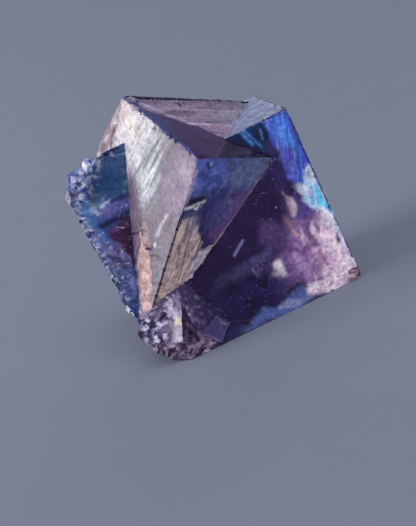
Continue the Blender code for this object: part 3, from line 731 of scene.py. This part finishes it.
# Rims and ends that are no main face: start, end, reach, two colours of their facets. The pale colour is
# partly painted glints
RIMS = (
    (on_twin(9.6, 0, 0), on_twin(5, 0, 0), 0.4, (240, 224, 222), (196, 176, 190)),
    (on_twin(4.9, 0, 0), on_twin(0, 0, 0), 0.35, (86, 96, 160), (50, 56, 112)),
    (on_twin(0, 0, 4.2), on_twin(0, 0, 12.4), 0.3, (30, 24, 44), (18, 14, 30)),
    ((0.2, 2.2, 14.4), (2.9, 2.4, 17.0), 1.1, (255, 252, 252), (176, 184, 218)),
    ((0.1, 2.0, 14.4), (0.1, 2.0, 4.4), 0.7, (214, 222, 255), (70, 82, 142)),
    ((0.5, 0.6, 2.2), (3.8, 0.0, 0.4), 1.3, (160, 132, 156), (62, 42, 72)),
    ((0.6, 1.2, 4.4), (2.6, -0.4, 2.4), 1.2, (250, 240, 255), (140, 120, 156)),
    (on_twin(-0.2, 0.6, 3.6), on_twin(-0.2, 1.8, 3.2), 0.5, (255, 250, 240), (206, 202, 212)),
    ((1.9, 1.6, 17.6), (0.6, 3.4, 15.0), 1.6, (255, 250, 252), (140, 152, 196)),
    ((17.2, 0.0, 0.7), (17.0, 0.4, 0.0), 1.0, (222, 190, 196), (132, 94, 106)),
    ((17.2, 0.0, 13.4), (17.2, 0.0, 1.0), 0.22, (150, 150, 180), (60, 50, 80)),
)


def near(places, start, end, reach):
    start, end = np.array(start), np.array(end)
    run = end - start
    share = np.clip((places - start) @ run / (run @ run), 0, 1)
    gap = np.linalg.norm(places - start - share[:, None] * run, axis=1)
    return 1 - smooth(gap, reach * 0.6, reach)


def facet_chance(normals):
    """A number between 0 and 1 that is the same all over a flat facet."""
    mixed = np.round(normals, 2) @ np.array((12.9898, 78.233, 37.719))
    return np.modf(np.abs(np.sin(mixed)) * 4375.85)[0]


def paint_other(places, normals):
    skin = Skin(places[:, 0], places[:, 2], (82, 74, 132), 0.26, 0.45)
    skin.blend(smooth(solid_waves(places, 5.0, 31), -0.6, 0.9), (108, 88, 136))
    skin.blend(smooth(solid_waves(places, 3.2, 33), 0.2, 1.2), (52, 78, 150))
    chance = facet_chance(normals)
    broad = smooth(np.abs(normals).max(axis=1), 0.97, 0.995)
    for start, end, reach, pale, dark in RIMS:
        mask = near(places, start, end, reach) * (1 - 0.9 * broad)
        skin.blend(mask, dark, frost=0.3, clear=0.15)
        # The pale colour on a random share of the facets: partly painted glints
        skin.blend(mask * smooth(chance, 0.45, 0.8), pale)
        skin.dust = np.maximum(skin.dust, 0.4 * mask)
    return skin


def finish_of(skin, index):
    """The painted values of one face, in the groups of three that the mesh stores."""
    return {
        "surface": (skin.frost, skin.clear, skin.stripes),
        "marks": (skin.pits, skin.dust, 0),
        "stripe_place": (skin.across, skin.v, index),
    }


def painted(index, places, normals):
    if index == OTHER:
        return paint_other(places, normals)
    name = FACE_NAMES[index]
    _, paint_face = LOOKS[name]
    return paint_face(*FACES[name].local(places))


def face_of(place, normal):
    for index, name in enumerate(FACE_NAMES):
        if FACES[name].holds(place, normal):
            return index
    return OTHER


def mesh_size(index):
    if index == OTHER:
        return OTHER_MESH_SIZE
    return FACES[FACE_NAMES[index]].mesh_size


def too_long(edge):
    return edge.calc_length() > min(mesh_size(face.material_index) for face in edge.link_faces)


def flat_edges(solid):
    """The edges inside flat faces, which may turn over to make better triangles."""
    found = []
    for edge in solid.edges:
        if len(edge.link_faces) != 2:
            continue
        one, two = edge.link_faces
        if one.material_index == two.material_index and one.normal.dot(two.normal) > 0.99999:
            found.append(edge)
    return found


def flatten_plates(solid):
    """Lays the thin plates of the front faces down on the face, where only the relief shows."""
    for name in PLATED:
        index = FACE_NAMES.index(name)
        face = FACES[name]
        for vert in solid.verts:
            height = face.height_of(vert)
            if not 0.001 < height < face.reach:
                continue
            if any(near_face.material_index == index for near_face in vert.link_faces):
                vert.co -= face.out * height
    bmesh.ops.remove_doubles(solid, verts=solid.verts, dist=MERGED)
    bmesh.ops.dissolve_degenerate(solid, edges=solid.edges, dist=MERGED)
    return solid


def name_walls(solid):
    """Counts the low walls between terraces with the face that they stand on."""
    for index, name in enumerate(FACE_NAMES):
        face = FACES[name]
        touched = {vert for item in solid.faces if item.material_index == index for vert in item.verts}
        for item in solid.faces:
            if item.material_index != OTHER or not all(vert in touched for vert in item.verts):
                continue
            heights = [face.height_of(vert) for vert in item.verts]
            if min(heights) > -0.01 and max(heights) < face.reach:
                item.material_index = index


def name_faces(solid):
    for face in solid.faces:
        face.material_index = face_of(face.calc_center_median() - HOST_CORNER, face.normal)


def refined(solid):
    """Splits long edges until each face has the mesh size that its relief needs."""
    for _ in range(SPLIT_ROUNDS):
        found = [edge for edge in solid.edges if too_long(edge)]
        if not found:
            break
        bmesh.ops.subdivide_edges(solid, edges=found, cuts=1)
        bmesh.ops.triangulate(solid, faces=[face for face in solid.faces if len(face.verts) > 3])
        bmesh.ops.beautify_fill(solid, faces=solid.faces, edges=flat_edges(solid), method="ANGLE")
    return solid


def array_of(items, name, width):
    values = np.empty(len(items) * width)
    items.foreach_get(name, values)
    return values.reshape(-1, width)


def corner_values(mesh):
    """For each corner of the mesh: its vertex, its face's name number, place and normal."""
    vertex = np.empty(len(mesh.loops), int)
    mesh.loops.foreach_get("vertex_index", vertex)
    kind = np.empty(len(mesh.polygons), int)
    mesh.polygons.foreach_get("material_index", kind)
    kind = np.repeat(kind, 3)
    places = array_of(mesh.vertices, "co", 3)[vertex] / METRES - np.array(HOST_CORNER)
    normals = np.repeat(array_of(mesh.polygons, "normal", 3), 3, axis=0)
    return vertex, kind, places, normals


def relief_at(kind, places):
    depth = OTHER_RELIEF * (1 + solid_waves(places, 0.9, 51))
    for index, name in enumerate(FACE_NAMES):
        chosen = kind == index
        carve_face, _ = LOOKS[name]
        depth[chosen] = carve_face(*FACES[name].local(places[chosen]))
        if name in STEPPED:
            depth[chosen] += FACES[name].step_height(places[chosen]) * STEP_SUNK
    return np.clip(depth, 0, None)


def sums_at(vertex, vectors, count):
    """For each of the vertices, the sum of the vectors that are given for its corners."""
    return np.stack([np.bincount(vertex, along, minlength=count) for along in vectors.T], 1)


def carve(mesh):
    """Sinks each vertex by the relief of every face that it lies on."""
    vertex, kind, places, normals = corner_values(mesh)
    depth = relief_at(kind, places)
    count = len(mesh.vertices)
    move = np.zeros((count, 3))
    kinds_met = np.zeros(count)
    for index in range(OTHER + 1):
        chosen = kind == index
        met = np.bincount(vertex[chosen], minlength=count)
        total = sums_at(vertex[chosen], normals[chosen] * depth[chosen, None], count)
        move -= total / np.maximum(met, 1)[:, None]
        kinds_met += met > 0
    own = array_of(mesh.vertices, "co", 3)
    wear = EDGE_WEAR * (1 + solid_waves(own / METRES, 0.6, 61)) * (kinds_met > 1)
    move -= array_of(mesh.vertices, "normal", 3) * np.clip(wear, 0, None)[:, None]
    places = blunted((own + move * METRES) / METRES) * METRES
    places = np.clip(places, np.array(LOW_CORNER) * METRES, np.array(HIGH_CORNER) * METRES)
    mesh.vertices.foreach_set("co", places.ravel())
    mesh.update()


def smooth_normals(mesh):
    """Corner normals that are smooth inside each main face. Zero keeps the mesh's own normal."""
    vertex, kind, _, _ = corner_values(mesh)
    count = len(mesh.vertices)
    corners = (array_of(mesh.vertices, "co", 3)[vertex] / METRES).reshape(-1, 3, 3)
    areas = np.cross(corners[:, 1] - corners[:, 0], corners[:, 2] - corners[:, 0])
    areas = np.repeat(areas, 3, axis=0)
    found = np.zeros_like(areas)
    for index, name in enumerate(FACE_NAMES):
        if name in STEPPED:
            continue
        chosen = kind == index
        total = sums_at(vertex[chosen], areas[chosen], count)[vertex[chosen]]
        found[chosen] = total + np.array(FACES[name].out) * LEAST_AREA
    length = np.linalg.norm(found, axis=1, keepdims=True)
    return found / np.where(length > 0, length, 1)


def blunted(places):
    """Rounds the twin's front corner off, down to a small flat."""
    inward = np.array((EDGE_A + EDGE_B + EDGE_C).normalized())
    depth = (places - np.array(HOST_CORNER + TWIN_CORNER)) @ inward
    rounded = np.sqrt(np.clip(depth, 0, None) ** 2 + CORNER_FLAT ** 2)
    push = np.where(depth < 3 * CORNER_FLAT, rounded - depth, 0)
    return places + np.outer(push * smooth(-depth, -3 * CORNER_FLAT, -CORNER_FLAT), inward)


def paint(mesh):
    """Stores the painted values in the mesh: the tint, and the surface and its marks."""
    _, kind, places, normals = corner_values(mesh)
    tint = np.ones((len(kind), 4))
    values = {label: np.zeros((len(kind), 3)) for label in ("surface", "marks", "stripe_place")}
    for index in range(OTHER + 1):
        chosen = kind == index
        skin = painted(index, places[chosen], normals[chosen])
        tint[chosen, :3] = skin.shade
        for label, group in finish_of(skin, index).items():
            values[label][chosen] = np.stack(np.broadcast_arrays(*group), -1)
    made = mesh.color_attributes.new("tint", "FLOAT_COLOR", "CORNER")
    made.data.foreach_set("color", tint.ravel())
    for label, stored in values.items():
        made = mesh.attributes.new(label, "FLOAT_VECTOR", "CORNER")
        made.data.foreach_set("vector", stored.ravel())


def crystal():
    """The visible crystal: the model's solid with fine relief and its colours."""
    solid = bmesh.new()
    solid.from_mesh(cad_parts[NODE].data)
    bmesh.ops.remove_doubles(solid, verts=solid.verts, dist=1e-8)
    bmesh.ops.scale(solid, vec=Vector((1, 1, 1)) / METRES, verts=solid.verts)
    name_faces(solid)
    flatten_plates(solid)
    solid.normal_update()
    name_faces(solid)
    name_walls(solid)
    refined(solid)
    bmesh.ops.scale(solid, vec=Vector((1, 1, 1)) * METRES, verts=solid.verts)
    mesh = bpy.data.meshes.new("crystal")
    solid.to_mesh(mesh)
    solid.free()
    paint(mesh)
    carve(mesh)
    normals = smooth_normals(mesh)
    mesh.polygons.foreach_set("material_index", np.zeros(len(mesh.polygons), int))
    mesh.shade_smooth()
    mesh.set_sharp_from_angle(angle=SHARP_ANGLE)
    mesh.normals_split_custom_set(normals.tolist())
    mesh.materials.append(fluorite())
    print("crystal:", len(mesh.polygons), "triangles")
    return placed("crystal", mesh)


# Scales of the patterns: the stripes' is per mm, the others are per metre
STRIPE_SCALE = (5.0, 0.45, 3.7)
CLOUD_SCALE = 900.0
PIT_SCALE = 2600.0
MOTTLE_SCALE = 3000.0
DUST_SCALE = 4200.0
GRAIN_SCALE = 5200.0
FIBRE_SCALE = 60.0
BUMP_HEIGHT = 0.00003
REFRACTION = 1.434
ABSORPTION = 35.0


class Nodes:
    """Adds nodes to a material and links them by name."""

    def __init__(self, name):
        self.material = bpy.data.materials.new(name)
        self.material.use_nodes = True
        self.tree = self.material.node_tree
        self.shader = self.tree.nodes["Principled BSDF"]
        self.output = self.tree.nodes["Material Output"]

    def add(self, kind, settings=(), **inputs):
        node = self.tree.nodes.new("ShaderNode" + kind)
        for name, value in dict(settings).items():
            setattr(node, name, value)
        for name, value in inputs.items():
            self.feed(node.inputs[name.replace("_", " ")], value)
        return node

    def feed(self, socket, value):
        if isinstance(value, bpy.types.NodeSocket):
            self.tree.links.new(value, socket)
        else:
            socket.default_value = value

    def math(self, operation, one, two=0.0, three=0.0):
        node = self.add("Math", {"operation": operation})
        for socket, value in zip(node.inputs, (one, two, three)):
            self.feed(socket, value)
        return node.outputs["Value"]

    def attribute(self, name):
        return self.add("Attribute", {"attribute_name": name}).outputs

    def mix(self, share, one, two, blend="MIX"):
        node = self.add("Mix", {"data_type": "RGBA", "blend_type": blend})
        self.feed(node.inputs["Factor"], share)
        self.feed(node.inputs[6], one)
        self.feed(node.inputs[7], two)
        return node.outputs[2]

    def noise(self, where, scale, detail, roughness=0.5):
        made = self.add("TexNoise", Vector=where, Scale=scale, Detail=detail, Roughness=roughness)
        return made.outputs["Fac"]

    def specks(self, where, scale, share):
        """Small round marks, in that share of the cells of a random pattern."""
        cells = self.add("TexVoronoi", Vector=where, Scale=scale).outputs
        chance = self.add("SeparateXYZ", Vector=cells["Color"]).outputs["X"]
        kept = self.math("LESS_THAN", chance, share)
        return self.math("MULTIPLY", self.ramp(cells["Distance"], 0.2, 0.06), kept)

    def ramp(self, value, low, high):
        node = self.add("MapRange", {"interpolation_type": "SMOOTHSTEP"}, Value=value)
        node.inputs["From Min"].default_value = low
        node.inputs["From Max"].default_value = high
        return node.outputs["Result"]


def fluorite():
    """Clear violet to blue fluorite. The faces' colours, with their painted light and shade, and frosting
    come from the mesh.
    """
    nodes = Nodes("fluorite")
    where = nodes.add("TexCoord").outputs["Object"]
    tint = nodes.attribute("tint")["Color"]
    surface = nodes.add("SeparateXYZ", Vector=nodes.attribute("surface")["Vector"]).outputs
    marks = nodes.add("SeparateXYZ", Vector=nodes.attribute("marks")["Vector"]).outputs
    frost, clear, striped = surface["X"], surface["Y"], surface["Z"]
    stretched = nodes.add("Mapping", Vector=nodes.attribute("stripe_place")["Vector"], Scale=STRIPE_SCALE)
    stripes = nodes.noise(stretched.outputs["Vector"], 1.0, 3.0)
    stripe = nodes.math("MULTIPLY", nodes.ramp(stripes, 0.42, 0.6), striped)
    cloud = nodes.noise(where, CLOUD_SCALE, 4.0)
    grain = nodes.noise(where, GRAIN_SCALE, 3.0)
    pit = nodes.specks(where, PIT_SCALE, marks["X"])
    speck = nodes.specks(where, DUST_SCALE, marks["Y"])
    mottle = nodes.noise(where, MOTTLE_SCALE, 6.0, 0.7)
    shaded = nodes.mix(nodes.ramp(cloud, 0.3, 0.7), (0.84, 0.84, 0.87, 1), (1.12, 1.1, 1.12, 1))
    mottled = nodes.mix(nodes.ramp(mottle, 0.34, 0.66), (0.66, 0.66, 0.72, 1), (1.3, 1.28, 1.3, 1))
    base = nodes.mix(1.0, nodes.mix(1.0, tint, shaded, "MULTIPLY"), mottled, "MULTIPLY")
    # Painted shade: the grooves of the stripes and the pits darken the colour
    dark = nodes.mix(1.0, base, (0.3, 0.28, 0.38, 1), "MULTIPLY")
    base = nodes.mix(nodes.math("MULTIPLY", stripe, 0.55), base, dark)
    base = nodes.mix(nodes.math("MULTIPLY", pit, 0.75), base, dark)
    base = nodes.mix(nodes.math("MULTIPLY", speck, 0.6), base, (0.42, 0.45, 0.68, 1))
    rough = nodes.math("MULTIPLY_ADD", grain, 0.12, frost)
    rough = nodes.math("MULTIPLY_ADD", speck, 0.3, nodes.math("SUBTRACT", rough, 0.06))
    height = nodes.math("MULTIPLY_ADD", stripe, -1.2, nodes.math("MULTIPLY_ADD", mottle, 1.5, grain))
    height = nodes.math("MULTIPLY_ADD", pit, -1.5, height)
    bump = nodes.add("Bump", Height=height, Distance=BUMP_HEIGHT, Strength=0.4)
    shader = nodes.shader
    nodes.feed(shader.inputs["Base Color"], base)
    nodes.feed(shader.inputs["Roughness"], rough)
    nodes.feed(shader.inputs["Normal"], bump.outputs["Normal"])
    nodes.feed(shader.inputs["Transmission Weight"], clear)
    shader.inputs["IOR"].default_value = REFRACTION
    inside = nodes.add("VolumeAbsorption", Color=(0.42, 0.36, 0.7, 1), Density=ABSORPTION)
    nodes.tree.links.new(inside.outputs["Volume"], nodes.output.inputs["Volume"])
    return nodes.material


def paper():
    nodes = Nodes("paper")
    where = nodes.add("TexCoord").outputs["Object"]
    fibre = nodes.noise(where, FIBRE_SCALE, 5.0)
    base = nodes.mix(fibre, (0.205, 0.235, 0.295, 1), (0.225, 0.255, 0.315, 1))
    nodes.feed(nodes.shader.inputs["Base Color"], base)
    nodes.shader.inputs["Roughness"].default_value = 0.9
    return nodes.material


FLOOR_WIDTH = 5.0
FLOOR_NEAR = -2.5
FLOOR_FAR = 0.1
SWEEP_RADIUS = 1.2
WALL_TOP = 3.0


def floor():
    """A sheet of paper that lies flat and sweeps up behind the crystal."""
    profile = [(FLOOR_NEAR, 0.0), (FLOOR_FAR, 0.0)]
    for step in range(1, 25):
        angle = math.radians(90) * step / 24
        profile.append((FLOOR_FAR + SWEEP_RADIUS * math.sin(angle), SWEEP_RADIUS * (1 - math.cos(angle))))
    profile.append((FLOOR_FAR + SWEEP_RADIUS, WALL_TOP))
    sheet = bmesh.new()
    rows = []
    for y, z in profile:
        rows.append([sheet.verts.new((side * FLOOR_WIDTH / 2, y, z)) for side in (-1, 1)])
    for low, high in zip(rows, rows[1:]):
        sheet.faces.new((low[0], low[1], high[1], high[0]))
    mesh = bpy.data.meshes.new("floor")
    sheet.to_mesh(mesh)
    sheet.free()
    mesh.shade_smooth()
    mesh.materials.append(paper())
    obj = placed("floor", mesh)


def add_light(name, direction, distance, size, power, tint):
    """A square soft light that shines at the crystal from that direction."""
    lamp = bpy.data.lights.new(name, "AREA")
    lamp.size = size
    lamp.energy = power
    lamp.color = tint
    obj = placed(name, lamp)
    centre = Vector((0, 0, 0.01))
    away = Vector(direction).normalized()
    obj.location = centre + away * distance
    obj.rotation_euler = away.to_track_quat("Z", "Y").to_euler()


def lights():
    add_light("key", (-0.95, 0.1, 0.32), 1.6, 1.3, 22.0, (1.0, 0.97, 0.95))
    add_light("back", (0.2, 0.78, 0.6), 1.9, 0.9, 12.0, (1.0, 0.96, 0.95))
    add_light("fill", (0.3, -0.8, 0.6), 2.4, 1.5, 42.0, (0.95, 0.96, 1.0))
    world = bpy.data.worlds.new("room")
    world.use_nodes = True
    world.node_tree.nodes["Background"].inputs["Color"].default_value = (0.30, 0.33, 0.44, 1)
    world.node_tree.nodes["Background"].inputs["Strength"].default_value = 0.6
    SCENE.world = world


def camera():
    data = bpy.data.cameras.new("camera")
    data.lens = CAMERA_LENS
    data.sensor_width = 36.0
    data.clip_start = 0.001
    data.clip_end = 10.0
    obj = placed("camera", data)
    back = CAMERA_BACK.normalized()
    right = CAMERA_UP.cross(back).normalized()
    up = back.cross(right)
    turn = Matrix((right, up, back)).transposed().to_4x4()
    obj.matrix_world = Matrix.Translation((CAMERA_PLACE + HOST_CORNER) * METRES) @ turn
    SCENE.camera = obj


camera()
floor()
lights()
piece = crystal()
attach(piece, "root")
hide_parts(NODE)
SCENE.view_settings.view_transform = "Standard"
